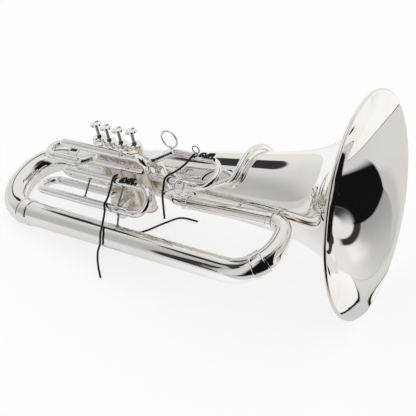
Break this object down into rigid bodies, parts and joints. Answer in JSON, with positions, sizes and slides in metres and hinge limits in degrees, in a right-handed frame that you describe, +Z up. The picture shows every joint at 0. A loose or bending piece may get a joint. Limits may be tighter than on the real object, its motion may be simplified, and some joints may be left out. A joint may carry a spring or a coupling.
{
  "type": "tuba",
  "caption": "Silver-plated tuba with piston valves across its body, lying on its back on the bell's rim and the bottom bow, with loose black tie cords.",
  "frame": {"origin": "on the table, below the middle of the horn's bounding box without its cords", "axes": "+X along the horn's length from the bottom bow to the bell's mouth, +Z up from the table, -Y on the front branch's side"},
  "size_m": [0.8328, 0.4862, 0.4206],
  "materials": {
    "silver": "polished silver plate",
    "satin_silver": "satin silver plate",
    "steel": "plain metal",
    "cord": "black braided cord"
  },
  "bodies": {
    "horn": {"bell": "silver", "bell_rim_wire": "silver", "bottom_bow": "silver", "front_branch": "silver", "top_bow": "silver", "bell_tail_ferrule": "satin_silver", "branch_ferrule": "satin_silver", "top_bow_ferrule": "satin_silver", "return_branch": "silver", "valve_casing_1": "satin_silver", "top_cap_1": "silver", "bottom_cap_1": "silver", "valve_casing_2": "satin_silver", "top_cap_2": "silver", "bottom_cap_2": "silver", "valve_casing_3": "satin_silver", "top_cap_3": "silver", "bottom_cap_3": "silver", "valve_casing_4": "satin_silver", "top_cap_4": "silver", "bottom_cap_4": "silver", "slide_1_upper_tube": "silver", "slide_1_lower_tube": "silver", "slide_2_upper_tube": "silver", "slide_2_lower_tube": "silver", "slide_3_upper_tube": "silver", "slide_3_lower_tube": "silver", "slide_4_upper_tube": "silver", "slide_4_lower_tube": "silver", "tuning_inlet_tube": "silver", "tuning_return_tube": "silver", "leadpipe": "silver", "mouthpiece_receiver": "silver", "finger_ring": "silver", "slide_brace_left": "silver", "branch_brace": "silver", "bell_brace": "silver", "cord_front": "cord", "cord_floor": "cord"},
    "tuning_slide": {"tuning_slide": "silver"},
    "slide_1": {"slide_1_crook": "silver", "slide_1_pull_ring": "silver", "cord_ring": "steel", "cord_ring_tail": "cord"},
    "slide_2": {"slide_2_crook": "silver"},
    "slide_3": {"slide_3_crook": "silver", "slide_brace_right": "silver"},
    "slide_4": {"slide_4_crook": "silver"},
    "valve_1": {"piston_1": "steel", "valve_stem_1": "steel", "finger_button_1": "silver"},
    "valve_2": {"piston_2": "steel", "valve_stem_2": "steel", "finger_button_2": "silver"},
    "valve_3": {"piston_3": "steel", "valve_stem_3": "steel", "finger_button_3": "silver"},
    "valve_4": {"piston_4": "steel", "valve_stem_4": "steel", "finger_button_4": "silver"}
  },
  "joints": [
    {"name": "tuning_slide_pull", "type": "slide", "parent": "horn", "child": "tuning_slide", "axis": [-0.9795, 0, -0.2014], "range_m": [0, 0.045]},
    {"name": "slide_1_pull", "type": "slide", "parent": "horn", "child": "slide_1", "axis": [0.9795, 0, 0.2014], "range_m": [0, 0.03]},
    {"name": "slide_2_pull", "type": "slide", "parent": "horn", "child": "slide_2", "axis": [0.0015, -1, -0.0075], "range_m": [0, 0.012]},
    {"name": "slide_3_pull", "type": "slide", "parent": "horn", "child": "slide_3", "axis": [0.9795, 0, 0.2014], "range_m": [0, 0.05]},
    {"name": "slide_4_pull", "type": "slide", "parent": "horn", "child": "slide_4", "axis": [0.9795, 0, 0.2014], "range_m": [0, 0.04]},
    {"name": "valve_1_press", "type": "slide", "parent": "horn", "child": "valve_1", "axis": [0.2014, 0.0077, -0.9795], "range_m": [0, 0.017], "stiffness_N_per_m": 300, "springref_m": -0.012},
    {"name": "valve_2_press", "type": "slide", "parent": "horn", "child": "valve_2", "axis": [0.2014, 0.0077, -0.9795], "range_m": [0, 0.017], "stiffness_N_per_m": 300, "springref_m": -0.012},
    {"name": "valve_3_press", "type": "slide", "parent": "horn", "child": "valve_3", "axis": [0.2014, 0.0077, -0.9795], "range_m": [0, 0.017], "stiffness_N_per_m": 300, "springref_m": -0.012},
    {"name": "valve_4_press", "type": "slide", "parent": "horn", "child": "valve_4", "axis": [0.2014, 0.0077, -0.9795], "range_m": [0, 0.017], "stiffness_N_per_m": 300, "springref_m": -0.012}
  ]
}
